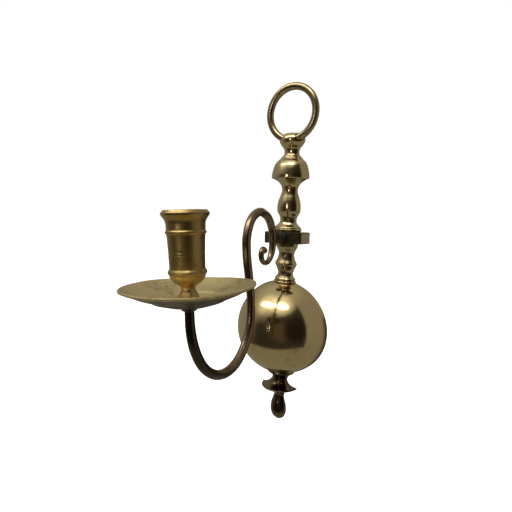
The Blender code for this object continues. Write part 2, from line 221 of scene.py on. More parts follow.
def refined(outline, step=0.5):
    """The outline's runs between corners made smooth, and each inner corner worn round."""
    corners = [i for i, p in enumerate(outline) if len(p) > 2]
    cuts = sorted({0, len(outline) - 1, *corners})
    line, worn = [], {}
    for a, b in zip(cuts, cuts[1:]):
        run = spline([p[:2] for p in outline[a:b + 1]], step)
        line += run if not line else run[1:]
        if len(outline[b]) > 2:
            worn[len(line) - 1] = outline[b][2]
    rounded = []
    for i, point in enumerate(line):
        if i in worn and 0 < i < len(line) - 1:
            before, after = line[i - 1] - point, line[i + 1] - point
            start = point + before * min(1.0, worn[i] / before.length) * 0.9
            end = point + after * min(1.0, worn[i] / after.length) * 0.9
            for k in range(5):
                t = k / 4
                rounded.append(start.lerp(point, t).lerp(point.lerp(end, t), t))
        else:
            rounded.append(point)
    return rounded


def hollows(line):
    """How deep each point of an outline lies in a hollow, in mm; below zero it is on a crest."""
    depths = []
    for i, point in enumerate(line):
        near = [p for p in line[max(0, i - HOLLOW_SPAN):i + HOLLOW_SPAN + 1]
                if (p - point).length < HOLLOW_REACH]
        middle = sum(near, Vector((0, 0))) / len(near)
        a, b = line[max(0, i - 1)], line[min(len(line) - 1, i + 1)]
        along = (b - a).normalized()
        outward = Vector((-along.y, along.x))
        depths.append((middle - point).dot(outward))
    return depths


def mesh_object(name, points, faces, worn=None):
    """A smooth-shaded mesh piece from points in millimetres, its faces turned outwards."""
    mesh = bpy.data.meshes.new(name)
    mesh.from_pydata([Vector(p) * MM for p in points], [], faces)
    if worn:
        depth = mesh.attributes.new("hollow", "FLOAT", "POINT")
        depth.data.foreach_set("value", worn)
    bm = bmesh.new()
    bm.from_mesh(mesh)
    bmesh.ops.recalc_face_normals(bm, faces=bm.faces)
    bm.to_mesh(mesh)
    bm.free()
    mesh.shade_smooth()
    mesh.set_sharp_from_angle(angle=SHARP_ANGLE)
    obj = bpy.data.objects.new(name, mesh)
    bpy.context.scene.collection.objects.link(obj)
    return obj


def skin(rows, sides, closed=False):
    """Faces between rows of points that go right round; closed joins the last to the first."""
    return [(i * sides + k, i * sides + (k + 1) % sides,
             (i + 1) % rows * sides + (k + 1) % sides, (i + 1) % rows * sides + k)
            for i in range(rows if closed else rows - 1) for k in range(sides)]


def end_faces(rows, sides):
    """The faces that close a skin's first and last rows."""
    return [tuple(range(sides)), tuple((rows - 1) * sides + k for k in range(sides))]


def half_skin(rows, closed):
    """Faces of a half turning: a closed one is a shell with an open back, else its back is flat."""
    pairs = [(i, i + 1) for i in range(rows - 1)] + ([(rows - 1, 0)] if closed else [])
    faces = [(a * HALF_ROW + k, a * HALF_ROW + k + 1, b * HALF_ROW + k + 1, b * HALF_ROW + k)
             for a, b in pairs for k in range(HALF_ROW - 1)]
    left = [i * HALF_ROW for i in range(rows)]
    right = [i * HALF_ROW + HALF_ROW - 1 for i in range(rows)]
    if closed:
        return faces + [tuple(left), tuple(right)]
    return faces + end_faces(rows, HALF_ROW) + [tuple(left + right[::-1])]


def half_row(radius, z):
    """Points round the front of a turning, with a small chamfer at the wall on either side."""
    reach = math.acos((AXIS_BEHIND + BACK_EDGE) / radius)
    angles = [reach * (2 * i / STEM_STEPS - 1) for i in range(STEM_STEPS + 1)]
    row = [(radius * math.sin(a), AXIS_BEHIND - radius * math.cos(a), z) for a in angles]
    edge = abs(row[0][0]) - BACK_EDGE * 0.6
    return [(-edge, 0.0, z)] + row + [(edge, 0.0, z)]


def half_turning(name, outline, closed=False):
    """A half-round piece with a flat back; a closed outline makes a shell with an open back."""
    line = refined(outline + outline[:1])[:-1] if closed else refined(outline)
    points, worn = [], []
    for depth, (radius, z) in zip(hollows(line), line):
        row = half_row(max(radius, AXIS_BEHIND + 2 * BACK_EDGE), z)
        points += row
        worn += [depth] * len(row)
    return mesh_object(name, points, half_skin(len(line), closed), worn)


def turning(name, loop, steps):
    """A full-round piece from a closed loop of (radius, height), about its own Z axis."""
    points, worn = [], []
    for depth, (radius, z) in zip(hollows(loop), loop):
        for k in range(steps):
            a = math.tau * k / steps
            points.append((radius * math.cos(a), radius * math.sin(a), z))
            worn.append(depth)
    return mesh_object(name, points, skin(len(loop), steps, closed=True), worn)


def tube(name, line, sides=40):
    """A round rod along a list of (point, radius), with softly rounded ends."""
    places = [p for p, _ in line]
    points = []
    side = Vector((1, 0, 0))
    rows = []
    for i, (place, radius) in enumerate(line):
        along = places[min(i + 1, len(line) - 1)] - places[max(i - 1, 0)]
        rows.append((place, along.normalized(), radius))
    for end, sign in ((0, -1), (-1, 1)):
        place, along, radius = rows[end]
        caps = [(place + along * sign * radius * CAP_LENGTH * math.sin(t), along,
                 radius * math.cos(t) ** 0.5) for t in map(math.radians, CAP_STEPS)]
        if end == 0:
            rows = caps[::-1] + rows
        else:
            rows += caps
    for place, along, radius in rows:
        across = along.cross(side).normalized()
        for k in range(sides):
            a = math.tau * k / sides
            points.append(place + (side * math.cos(a) + across * math.sin(a)) * radius)
    return mesh_object(name, points, skin(len(rows), sides) + end_faces(len(rows), sides))


def dent(obj, size, depth, seed):
    """Shallow waves in a surface, of about that size and depth in mm."""
    mesh = obj.data
    shift = Vector((seed, -seed, 2 * seed))
    normals = [v.normal.copy() for v in mesh.vertices]
    for vertex, normal in zip(mesh.vertices, normals):
        if abs(vertex.co.y) < 0.02 * MM:
            continue
        wave = noise.noise(vertex.co / (size * MM) + shift)
        vertex.co -= normal * (depth * MM * (0.5 + 0.5 * wave))


def box(name, low, high, worn):
    """A block between two corners in mm, with rounded edges."""
    bm = bmesh.new()
    bmesh.ops.create_cube(bm, size=1.0)
    low, high = Vector(low), Vector(high)
    for vertex in bm.verts:
        vertex.co = Vector(((low[i] + high[i]) / 2 + vertex.co[i] * (high[i] - low[i])
                            for i in range(3))) * MM
    bmesh.ops.bevel(bm, geom=bm.edges[:], offset=worn * MM, segments=4, profile=0.5,
                    affect="EDGES")
    mesh = bpy.data.meshes.new(name)
    bm.to_mesh(mesh)
    bm.free()
    mesh.shade_smooth()
    mesh.set_sharp_from_angle(angle=math.radians(50))
    obj = bpy.data.objects.new(name, mesh)
    bpy.context.scene.collection.objects.link(obj)
    return obj


def cut(target, tool, operation="DIFFERENCE"):
    """Cut a piece with a hidden tool, or join the two."""
    tool.hide_render = True
    tool.display_type = "WIRE"
    mod = target.modifiers.new(tool.name, "BOOLEAN")
    mod.operation = operation
    mod.object = tool
    mod.solver = "EXACT"


def settle(obj):
    """Apply the modifiers, so that the piece is a plain mesh."""
    bpy.context.view_layer.update()
    shaped = obj.evaluated_get(bpy.context.evaluated_depsgraph_get())
    mesh = bpy.data.meshes.new_from_object(shaped)
    tools = [mod.object for mod in obj.modifiers if mod.type == "BOOLEAN"]
    obj.modifiers.clear()
    obj.data = mesh
    for tool in tools:
        if tool and tool.name in bpy.data.objects:
            bpy.data.objects.remove(tool, do_unlink=True)


def cylinder_tool(name, radius, low, high, sides=48):
    """An upright cylinder in mm, for cutting or joining."""
    points = [(radius * math.cos(math.tau * k / sides), radius * math.sin(math.tau * k / sides), z)
              for z in (low, high) for k in range(sides)]
    return mesh_object(name, points, skin(2, sides) + end_faces(2, sides))


# ---------------------------------------------------------------- materials

WAX_ROUGHNESS = 0.16
RELIEF_DEPTH = 0.06 * MM


class Graph:
    """A material's node tree, with short ways to add nodes."""

    def __init__(self, name):
        self.material = bpy.data.materials.new(name)
        self.material.use_nodes = True
        self.tree = self.material.node_tree
        self.shader = self.tree.nodes["Principled BSDF"]
        self.place = self.node("ShaderNodeTexCoord").outputs["Object"]

    def node(self, kind, inputs=None, **settings):
        made = self.tree.nodes.new(kind)
        for key, value in settings.items():
            setattr(made, key, value)
        for key, value in (inputs or {}).items():
            self.put(made.inputs[key], value)
        return made

    def put(self, socket, value):
        if isinstance(value, bpy.types.NodeSocket):
            self.tree.links.new(value, socket)
        else:
            socket.default_value = value

    def math(self, operation, a, b=0.0, clamp=False):
        made = self.node("ShaderNodeMath", {0: a, 1: b}, operation=operation, use_clamp=clamp)
        return made.outputs[0]

    def noise(self, scale, detail=4.0, rough=0.55, stretch=None, turn=None, warp=0.0):
        place = self.place
        if stretch or turn:
            mapping = self.node("ShaderNodeMapping", {"Vector": place})
            mapping.inputs["Scale"].default_value = stretch or (1, 1, 1)
            mapping.inputs["Rotation"].default_value = turn or (0, 0, 0)
            place = mapping.outputs[0]
        made = self.node("ShaderNodeTexNoise", {"Vector": place, "Scale": scale, "Detail": detail,
                                                "Roughness": rough, "Distortion": warp})
        return made.outputs[0]

    def ramp(self, value, low, high, to=1.0):
        """0 below low, rising smoothly to the value of to above high."""
        made = self.node("ShaderNodeMapRange", {"Value": value, "From Min": low, "From Max": high,
                                                "To Min": 0.0, "To Max": to},
                         interpolation_type="SMOOTHSTEP")
        return made.outputs["Result"]

    def mix(self, amount, a, b):
        made = self.node("ShaderNodeMix", data_type="RGBA")
        for socket, value in ((made.inputs[0], amount), (made.inputs[6], a), (made.inputs[7], b)):
            if isinstance(value, tuple):
                value = (*value, 1.0)
            self.put(socket, value)
        return made.outputs[2]

    def hairlines(self, scale, width, turn, stretch, breaks=0.5):
        """Fine broken scratches that run one way."""
        wavy = self.noise(scale, 1.0, 0.5, stretch, turn)
        near = self.math("ABSOLUTE", self.math("SUBTRACT", wavy, 0.5))
        line = self.ramp(near, width, 0.0)
        patch = self.noise(60.0, 2.0)
        return self.math("MULTIPLY", line, self.ramp(patch, breaks, breaks + 0.12))


def aged_metal(name, bright, stain, grime_and_shade, smooth, rough, tarnish=0.5, lathe=0.3, pits=0.5,
               scratches=0.5, cloud=30.0, hollow=1.0, relief=0.12, spots=0.6, shade=None,
               wax=0.0):
    """Old turned or cast brass: clouded tarnish, dark pits, lathe lines, scratches, dirt and
    painted shade.
    """
    g = Graph(name)
    clouds = g.noise(cloud, 6.0, 0.62, warp=0.5)
    stained = g.ramp(clouds, 0.62 - 0.25 * tarnish, 0.72 - 0.12 * tarnish)
    fine = g.noise(cloud * 9, 4.0, 0.6)
    blotch = g.math("MULTIPLY", stained, g.ramp(fine, 0.3, 0.62))
    colour = g.mix(g.math("MULTIPLY", blotch, min(1.0, 0.35 + tarnish)), bright, stain)

    specks = g.ramp(g.noise(1100.0, 2.0, 0.5), 0.70 - 0.05 * pits, 0.76 - 0.05 * pits)
    specks = g.math("MULTIPLY", specks, g.ramp(g.noise(45.0, 3.0), 0.45, 0.65))
    colour = g.mix(g.math("MULTIPLY", specks, 0.85 * pits), colour, grime_and_shade)

    marks = g.ramp(g.noise(330.0, 2.0, 0.5), 0.69, 0.73)
    marks = g.math("MULTIPLY", marks, g.ramp(g.noise(34.0, 2.0), 0.50, 0.60))
    colour = g.mix(g.math("MULTIPLY", marks, spots), colour, grime_and_shade)
    # Painted shade: darker toward one end along an axis of the object, mixed toward the dark
    # colour.
    if shade:
        axis, low, high = shade
        place = g.node("ShaderNodeSeparateXYZ", {"Vector": g.place})
        colour = g.mix(g.ramp(place.outputs[axis], low, high, 0.85), colour, grime_and_shade)

    # Painted shade: points that lie deep in a hollow are darkened toward the dark colour in place
    # of occlusion, as strongly as hollow says; they are also made rougher.
    depth = g.node("ShaderNodeAttribute", attribute_name="hollow").outputs["Fac"]
    hollow_shade = g.ramp(depth, 0.03, 0.28)
    hollow_shade = g.math("MULTIPLY", hollow_shade, g.ramp(g.noise(140.0, 4.0), 0.25, 0.6), clamp=True)
    colour = g.mix(g.math("MULTIPLY", hollow_shade, 0.8 * hollow), colour, grime_and_shade)

    lines_a = g.hairlines(26.0, 0.007, (0.3, 0.5, 0.2), (1.0, 1.0, 9.0))
    lines_b = g.hairlines(30.0, 0.006, (1.1, 0.2, 0.9), (8.0, 1.0, 1.2), 0.46)
    lines = g.math("MAXIMUM", lines_a, lines_b)
    rings = g.noise(1.0, 3.0, 0.7, (25.0, 25.0, 2600.0))

    roughness = g.math("ADD", smooth, g.math("MULTIPLY", clouds, (rough - smooth) * 0.8))
    roughness = g.math("ADD", roughness, g.math("MULTIPLY", blotch, (rough - smooth) * 0.7))
    roughness = g.math("ADD", roughness, g.math("MULTIPLY", lines, 0.14 * scratches))
    roughness = g.math("ADD", roughness, g.math("MULTIPLY", hollow_shade, 0.25))
    roughness = g.math("ADD", roughness, g.math("MULTIPLY", specks, 0.4), clamp=True)

    height = g.math("MULTIPLY", rings, lathe)
    height = g.math("SUBTRACT", height, g.math("MULTIPLY", lines, scratches))
    height = g.math("SUBTRACT", height, g.math("MULTIPLY", specks, pits))
    height = g.math("ADD", height, g.math("MULTIPLY", fine, 0.25))
    bump = g.node("ShaderNodeBump", {"Height": height, "Strength": relief,
                                    "Distance": RELIEF_DEPTH})

    g.put(g.shader.inputs["Base Color"], colour)
    g.put(g.shader.inputs["Roughness"], roughness)
    g.put(g.shader.inputs["Normal"], bump.outputs[0])
    g.shader.inputs["Metallic"].default_value = 1.0
    g.shader.inputs["Coat Weight"].default_value = wax
    g.shader.inputs["Coat Roughness"].default_value = WAX_ROUGHNESS
    g.material.diffuse_color = (*bright, 1.0)
    return g.material


def materials():
    """Every finish on the sconce, by name."""
    return {
        "polished": aged_metal("polished_brass", (0.66, 0.53, 0.28), (0.36, 0.27, 0.12),
                               (0.05, 0.036, 0.02), 0.10, 0.24, tarnish=0.55, lathe=0.15,
                               relief=0.08, wax=0.4),
        "ball": aged_metal("ball_brass", (0.71, 0.555, 0.28), (0.50, 0.36, 0.16),
                           (0.09, 0.055, 0.03), 0.09, 0.20, tarnish=0.55, lathe=0.1, cloud=24.0,
                           pits=0.8, scratches=1.0, relief=0.12, spots=0.9, wax=0.2),
        "wire": aged_metal("ring_brass", (0.48, 0.37, 0.19), (0.28, 0.20, 0.10),
                           (0.05, 0.036, 0.02), 0.20, 0.32, tarnish=0.5, lathe=0.0,
                           relief=0.03, wax=0.2),
        "foot": aged_metal("dull_foot_ring", (0.26, 0.22, 0.10), (0.12, 0.10, 0.04),
                           (0.02, 0.015, 0.008), 0.18, 0.34, tarnish=0.7, lathe=0.2),
        "golden": aged_metal("golden_satin_brass", (0.44, 0.31, 0.10), (0.24, 0.155, 0.045),
                             (0.04, 0.025, 0.010), 0.32, 0.46, tarnish=0.6, lathe=0.8,
                             relief=0.25, wax=0.5),
        "pale": aged_metal("pale_scuffed_brass", (0.75, 0.605, 0.305), (0.40, 0.295, 0.125),
                           (0.08, 0.06, 0.03), 0.32, 0.50, tarnish=0.6, lathe=0.3, pits=0.7,
                           scratches=0.9, relief=0.3, hollow=0.2, cloud=26.0, wax=0.15),
        # A darker copy of the pan's brass for its downward faces: painted shade under the pan.
        "under": aged_metal("pan_underside_shade", (0.22, 0.165, 0.08), (0.10, 0.07, 0.035),
                            (0.03, 0.022, 0.012), 0.28, 0.46, tarnish=0.6, lathe=0.5, pits=0.8,
                            relief=0.3, hollow=0.4),
        # The arm's brown patina; its shade setting paints shade on the arm's outer limb, under the
        # pan.
        "bronze": aged_metal("brown_patina_and_shade", (0.29, 0.205, 0.115), (0.18, 0.12, 0.065),
                             (0.026, 0.017, 0.011), 0.22, 0.30, tarnish=0.5, lathe=0.0, pits=0.4,
                             cloud=20.0, relief=0.05, shade=("Y", -0.095, -0.145), wax=0.3),
        "finial": aged_metal("dark_turned_bronze", (0.18, 0.12, 0.055), (0.07, 0.048, 0.022),
                             (0.015, 0.010, 0.007), 0.12, 0.20, tarnish=0.6, lathe=0.1,
                             relief=0.05, wax=0.6),
        "iron": aged_metal("blackened_cast", (0.12, 0.10, 0.065), (0.045, 0.038, 0.026),
                           (0.015, 0.013, 0.01), 0.36, 0.62, tarnish=0.7, lathe=0.0, pits=1.0,
                           cloud=80.0, relief=0.8),
        "filed": aged_metal("filed_ends", (0.66, 0.55, 0.36), (0.46, 0.37, 0.22),
                            (0.08, 0.06, 0.03), 0.45, 0.65, tarnish=0.5, lathe=0.6, pits=0.6,
                            relief=0.4),
        "sawn": aged_metal("sawn_back", (0.50, 0.40, 0.22), (0.26, 0.19, 0.09),
                           (0.04, 0.03, 0.02), 0.34, 0.55, tarnish=0.7, lathe=1.0, pits=0.8,
                           relief=0.5),
    }


def dress(piece, mat, body, nodes):
    """Give a piece its finish, its body and the CAD nodes that it stands for."""
    piece.data.materials.clear()
    piece.data.materials.append(mat)
    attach(piece, body)
    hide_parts(*nodes)
    return piece


def repaint(piece, mat, chosen, flat=False):
    """The faces that chosen picks take another finish."""
    piece.data.materials.append(mat)
    index = len(piece.data.materials) - 1
    for face in piece.data.polygons:
        if chosen(face):
            face.material_index = index
            face.use_smooth = face.use_smooth and not flat


def saw_back(piece, mat):
    """The faces on the wall plane take the finish of the sawn back."""
    repaint(piece, mat, lambda face: face.normal.y > 0.99 and abs(face.center.y) < 0.05 * MM,
            flat=True)


# ---------------------------------------------------------------- pieces

def sphere_arc(radius, count):
    """Outline of the ball from top to bottom, both ends at the pole's radius."""
    first = math.asin(BALL_POLE / radius)
    angles = [first + (math.pi - 2 * first) * i / count for i in range(count + 1)]
    return [Vector((radius * math.sin(a), BALL_Z + radius * math.cos(a))) for a in angles]


def on_ball(radius, top):
    """Height just clear of the ball's skin at this radius."""
    reach = math.sqrt((BALL_RADIUS + SEAT_GAP) ** 2 - radius ** 2)
    return BALL_Z + reach if top else BALL_Z - reach


def half_ball():
    """The hollow half ball, its skin slightly uneven from spinning and knocks."""
    rows = sphere_arc(BALL_RADIUS, 150) + sphere_arc(BALL_RADIUS - BALL_WALL, 100)[::-1]
    points = []
    for radius, z in rows:
        points += half_row(radius, z)
    ball = mesh_object("half_ball_skin", points, half_skin(len(rows), closed=True))
    dent(ball, 30.0, 0.14, 1.7)
    dent(ball, 11.0, 0.012, 4.1)
    return ball


def ring_radius():
    """From the ring's centre to the middle of its wire."""
    low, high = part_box("hanging_ring")
    return (high.z - low.z) / MM / 2 - WIRE_RADIUS


def hinge_frame():
    """The ring's hinge, with X along it."""
    joint = JOINTS["ring_swing"]
    axis = Vector(joint["axis"])
    return (Matrix.Translation(joint["pos_m"])
            @ Matrix.Rotation(math.atan2(axis.y, axis.x), 4, "Z"))


def ring_piece():
    """The hanging ring: drawn wire bent round, a little uneven in thickness."""
    radius = ring_radius()
    steps, sides = 220, 40
    points = []
    for i in range(steps):
        a = math.tau * i / steps
        wire = WIRE_RADIUS - 0.05 + 0.05 * math.sin(3 * a + 0.6) * math.cos(a)
        for k in range(sides):
            b = math.tau * k / sides
            reach = radius + wire * math.cos(b)
            points.append((reach * math.sin(a), wire * math.sin(b), radius - reach * math.cos(a)))
    ring = mesh_object("ring_wire", points, skin(steps, sides, closed=True))
    ring.matrix_world = hinge_frame()
    return ring


def ring_hole():
    """The slot that the ring's swing has worn through the knob, as a tool."""
    radius = ring_radius()
    first, last = (math.radians(limit) for limit in JOINTS["ring_swing"]["range_deg"])
    middle, half = (first + last) / 2, (last - first) / 2
    wide, arc, around = math.radians(42), 40, 64
    points = []
    for i in range(arc + 1):
        a = wide * (2 * i / arc - 1)
        rise = radius * (1 - math.cos(a))
        clear = (WIRE_RADIUS + WIRE_PLAY) / math.cos(a)
        for k in range(around):
            b = math.tau * k / around
            off = abs((b - middle + math.pi) % math.tau - math.pi) - half
            off = min(max(off, 0.0), math.pi)
            under = clear ** 2 - (rise * math.sin(off)) ** 2
            reach = max(0.5, rise * math.cos(off) + math.sqrt(under)) if under > 0 else 0.5
            points.append((radius * math.sin(a), -reach * math.sin(b), reach * math.cos(b)))
    tool = mesh_object("ring_hole", points, skin(arc + 1, around) + end_faces(arc + 1, around))
    tool.matrix_world = hinge_frame()
    return tool


def arm_block():
    """The cast bar across the stem, wider at the wall, with the arm's mortise in its front."""
    depth = -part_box("arm_block")[0].y / MM
    half = BLOCK_HEIGHT / 2
    block = box("cast_block", (-BLOCK_HALF_BACK, -depth, -half), (BLOCK_HALF_BACK, 0, half), 1.0)
    fine = block.modifiers.new("fine", "SUBSURF")
    fine.subdivision_type = "SIMPLE"
    fine.levels = fine.render_levels = 5
    settle(block)
    for vertex in block.data.vertices:
        out = -vertex.co.y / MM / depth
        vertex.co.x *= 1 + (BLOCK_HALF_FRONT / BLOCK_HALF_BACK - 1) * out
    dent(block, 6.0, 0.25, 2.2)
    dent(block, 2.2, 0.12, 5.5)
    block.matrix_world = Matrix.Rotation(BLOCK_ROLL, 4, "Y")
    room = box("mortise", (-2.3, -depth - 2, -4.5), (2.3, -5.1, 4.5), 0.2)
    room.matrix_world = ARM_FRAME
    cut(block, room)
    hole = cylinder_tool("pin_hole", 1.5, -8, 8)
    hole.matrix_world = ARM_FRAME @ Matrix.Translation((0, -8.6 * MM, 0))
    cut(block, hole)
    settle(block)
    return block


def arm_tongue():
    """The arm's flat tongue with its round shoulder, forged as one."""
    low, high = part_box("arm_tongue")
    tongue = box("tongue_bar", (-2.0, low.y / MM, -4.2), (2.0, high.y / MM, 4.2), 0.5)
    shoulder = round_shoulder()
    cut(tongue, shoulder, "UNION")
    settle(tongue)
    tongue.matrix_world = ARM_FRAME
    return tongue


def round_shoulder():
    """The round shoulder as a tool, turned about the tongue's own line."""
    line = refined([(0.4, -12.3), (4.7, -12.3, 0.3), (4.7, -13.6, 0.5), (3.6, -14.3), (0.4, -14.3)])
    steps = 64
    points = [(r * math.cos(math.tau * k / steps), y, r * math.sin(math.tau * k / steps))
              for r, y in line for k in range(steps)]
    faces = skin(len(line), steps) + end_faces(len(line), steps)
    return mesh_object("tongue_shoulder", points, faces)


def arm_rod():
    """The scroll rod, its section swelling and thinning as a forged rod's does."""
    line = spline([(0, y, z, radius) for y, z, radius in ARM_LINE], 1.0)
    rod = tube("scroll_rod", [(Vector(p[:3]), p[3]) for p in line])
    dent(rod, 14.0, 0.10, 3.3)
    rod.matrix_world = ARM_FRAME
    return rod


def drip_pan():
    """The spun pan: a thin sheet with a stepped underside and a rolled edge."""
    under = [(STUD_BORE, 0.0)] + PAN_UNDERSIDE
    lip = [(44.6, 12.8), (44.3, 13.5), (43.6, 13.7, 0.4)]
    over = [(r - 0.3, z + PAN_SHEET, *worn) for r, z, *worn in PAN_UNDERSIDE[:-3]][::-1]
    pan = turning("pan_sheet", refined(under + lip + over + [(STUD_BORE, PAN_SHEET)], 0.8), 240)
    for vertex in pan.data.vertices:
        across = Vector((vertex.co.x, vertex.co.y, 0)) / MM
        share = min(1.0, across.length / 40) ** 2
        wave = noise.noise(across / 30) * 0.5 + noise.noise(across / 11 + Vector((5, 2, 0))) * 0.12
        bent = max(0.0, across.normalized().dot(PAN_BENT_SIDE)) ** 3 if across.length > 1 else 0.0
        vertex.co.z += (wave * share + PAN_BEND * bent * share ** 1.5) * MM
    pan.matrix_world = (CUP_FRAME @ Matrix.Translation((0, 0, PAN_FLOOR_Z * MM))
                        @ Matrix.Rotation(PAN_TILT, 4, "X"))
    return pan


def candle_cup():
    """The turned cup: rolled rim, two beads, a pair of cut lines, bowl and foot."""
    outside = refined(CUP_OUTSIDE, 0.35)
    for point in outside:
        for groove in CUP_GROOVES:
            off = abs(point.y - groove)
            if off < GROOVE_HALF and point.x > 10:
                point.x -= GROOVE_DEPTH * (1 - off / GROOVE_HALF)
    thread = [Vector((STUD_BORE, CUP_OUTSIDE[-1][1])), Vector((STUD_BORE, -19.4)),
              Vector((0.6, -18.8)), Vector((0.6, CUP_BORE[0][1]))]
    loop = outside + thread + refined(CUP_BORE, 0.8)
    cup = turning("cup_turning", loop, 192)
    cup.matrix_world = CUP_FRAME
    return cup


def pan_collar():
    """The small collar that the pan rests on."""
    low = ROD_END_Z + 0.3
    outline = [(STUD_BORE, low), (4.8, low), (5.3, low + 0.5), (5.4, low + 1.1), (5.3, low + 1.8),
               (5.0, low + 2.2, 0.2), (STUD_BORE, low + 2.2, 0.2)]
    collar = turning("collar_turning", refined(outline, 0.3), 96)
    collar.matrix_world = CUP_FRAME
    return collar


def drop_finial():
    """The finial, its flange knocked up on one side and down on the other."""
    drop = half_turning("drop_turning", DROP_FINIAL)
    for vertex in drop.data.vertices:
        out = math.hypot(vertex.co.x, vertex.co.y - AXIS_BEHIND * MM) / MM
        if vertex.co.z > FLANGE_ABOVE * MM:
            bent = min(max((out - FLANGE_FROM) / FLANGE_RUN, 0.0), 1.0)
            vertex.co.z += FLANGE_SLOPE * bent * vertex.co.x
    return drop


def build(finish):
    """Make every visible piece and put it on its body."""
    seat = [(SEAT_BORE, -43.1), (11.4, -43.1, 0.2), (12.6, -43.5), (12.9, -44.3),
            (12.6, on_ball(12.6, True), 0.2), (SEAT_BORE, on_ball(SEAT_BORE, True), 0.2)]
    foot = [(SEAT_BORE, on_ball(SEAT_BORE, False), 0.2), (12.0, on_ball(12.0, False)),
            (15.8, on_ball(15.8, False), 0.2), (16.2, -138.4), (15.0, -140.2), (12.8, -141.9, 0.3),
            (SEAT_BORE, -141.9, 0.2)]
    turned = {
        "top_knob": half_turning("knob_turning", KNOB),
        "bell_cap": half_turning("bell_turning", BELL),
        "upper_baluster": half_turning("upper_baluster_turning", UPPER_BALUSTER),
        "collar_vase": half_turning("vase_turning", COLLAR_VASE),
        "lower_baluster": half_turning("lower_baluster_turning", LOWER_BALUSTER),
        "ball_seat_ring": half_turning("seat_ring_turning", seat, closed=True),
        "ball_foot_ring": half_turning("foot_ring_turning", foot, closed=True),
    }
    cut(turned["top_knob"], ring_hole())
    settle(turned["top_knob"])
    for seed, (node, piece) in enumerate(turned.items()):
        dent(piece, 12.0, 0.04, 1.3 * seed)
        dress(piece, finish["foot" if node == "ball_foot_ring" else "polished"],
              "sconce", [node])
        saw_back(piece, finish["sawn"])
    ball = dress(half_ball(), finish["ball"], "sconce", ["half_ball"])
    saw_back(ball, finish["sawn"])
    drop = drop_finial()
    dress(drop, finish["finial"], "sconce", ["drop_finial"])
    saw_back(drop, finish["sawn"])
    dress(ring_piece(), finish["wire"], "ring", ["hanging_ring"])
    block = dress(arm_block(), finish["iron"], "sconce", ["arm_block"])
    repaint(block, finish["filed"], lambda face: abs(face.normal.x) > 0.8
            and abs(face.center.x) > BLOCK_HALF_FRONT * 0.9 * MM)
    saw_back(block, finish["sawn"])
    dress(arm_tongue(), finish["iron"], "sconce", ["arm_tongue"])
    dress(arm_rod(), finish["bronze"], "sconce", ["arm_rod"])
    dress(pan_collar(), finish["bronze"], "sconce", ["pan_collar"])
    pan = dress(drip_pan(), finish["pale"], "sconce", ["drip_pan"])
    # Painted shade: the pan's downward faces inside the lip take the darker underside copy.
    repaint(pan, finish["under"], lambda face: face.normal.z < -0.2
            and face.center.xy.length < UNDERSIDE_SHADE_RADIUS * MM)
    dress(candle_cup(), finish["golden"], "cup", ["candle_cup"])
    for name in ("tie_rod", "ball_nut", "tongue_pin", "cup_stud"):
        node = NODES[name]
        node.data.materials.clear()
        node.data.materials.append(finish["iron"])


# ---------------------------------------------------------------- floor, light and camera

LAMP_LEFT = (-0.49, -0.41, 0.77)
LAMP_RIGHT = (0.06, -0.43, 0.90)
FRONT = (-0.10, -0.97, 0.16)
LAMP_DISTANCE = 1.3
FLOOR_HALF = 6.0
FLOOR_BELOW = 0.35
FLOOR_GLOW = 0.9
CAMERA_PLACE = (0.159894, -0.343271, 0.033961)
CAMERA_TURN = (81.8294, -2.4002, 29.9447)
LENS = 26.72
SENSOR = 36.0


def make_floor():
    """A plain pale floor well under the sconce; it glows, and the brass doesn't reflect it."""
    bm = bmesh.new()
    bmesh.ops.create_grid(bm, x_segments=1, y_segments=1, size=FLOOR_HALF)
    mesh = bpy.data.meshes.new("floor")
    bm.to_mesh(mesh)
    bm.free()
    floor = bpy.data.objects.new("floor", mesh)
    bpy.context.scene.collection.objects.link(floor)
    floor.location.z = cad_box[0].z - FLOOR_BELOW
    paint = bpy.data.materials.new("pale_floor")
    paint.use_nodes = True
    shader = paint.node_tree.nodes["Principled BSDF"]
    shader.inputs["Base Color"].default_value = (0.9, 0.9, 0.9, 1.0)
    shader.inputs["Roughness"].default_value = 0.8
    shader.inputs["Emission Color"].default_value = (1.0, 1.0, 1.0, 1.0)
    shader.inputs["Emission Strength"].default_value = FLOOR_GLOW
    mesh.materials.append(paint)
    floor.visible_glossy = False


